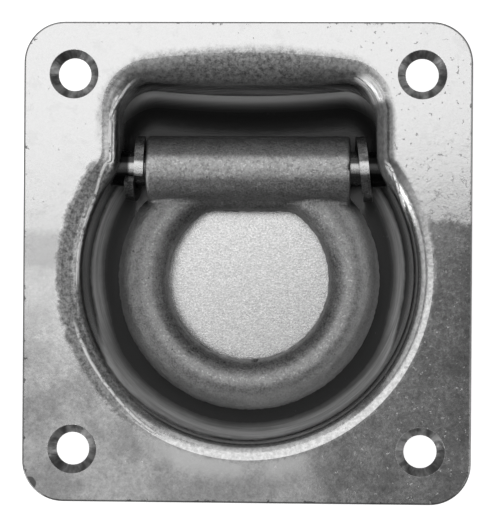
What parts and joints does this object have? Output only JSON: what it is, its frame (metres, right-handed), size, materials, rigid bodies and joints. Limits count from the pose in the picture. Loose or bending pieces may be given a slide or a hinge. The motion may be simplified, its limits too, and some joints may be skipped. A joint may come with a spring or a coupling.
{
  "type": "recessed lashing ring",
  "caption": "Zinc-plated pressed pan with a keyhole recess and countersunk flange, holding a fold-down forged lashing ring on a riveted cross pin.",
  "frame": {"origin": "centre of the plate in X and Y, on the flat underside of the recess's floor", "axes": "+Z out of the flange's open face, +X along the hinge, +Y from the round end of the recess towards the hinge"},
  "size_m": [0.098, 0.105, 0.02],
  "materials": {
    "zinc_plate": "bright zinc plating over pressed sheet, slightly mottled in the bends",
    "forged_zinc": "dull zinc plating over a rough forged skin",
    "pin_steel": "zinc-plated round bar",
    "spring_steel": "plated spring steel, square edges"
  },
  "bodies": {
    "pan": {"recess_pan": "zinc_plate", "hinge_pin": "pin_steel", "left_spring_washer": "spring_steel", "right_spring_washer": "spring_steel"},
    "ring": {"lashing_ring": "forged_zinc"}
  },
  "joints": [
    {"name": "ring_swing", "type": "hinge", "parent": "pan", "child": "ring", "pos_m": [0, 0.0208, 0.011], "axis": [-1, 0, 0], "range_deg": [0, 145]}
  ]
}
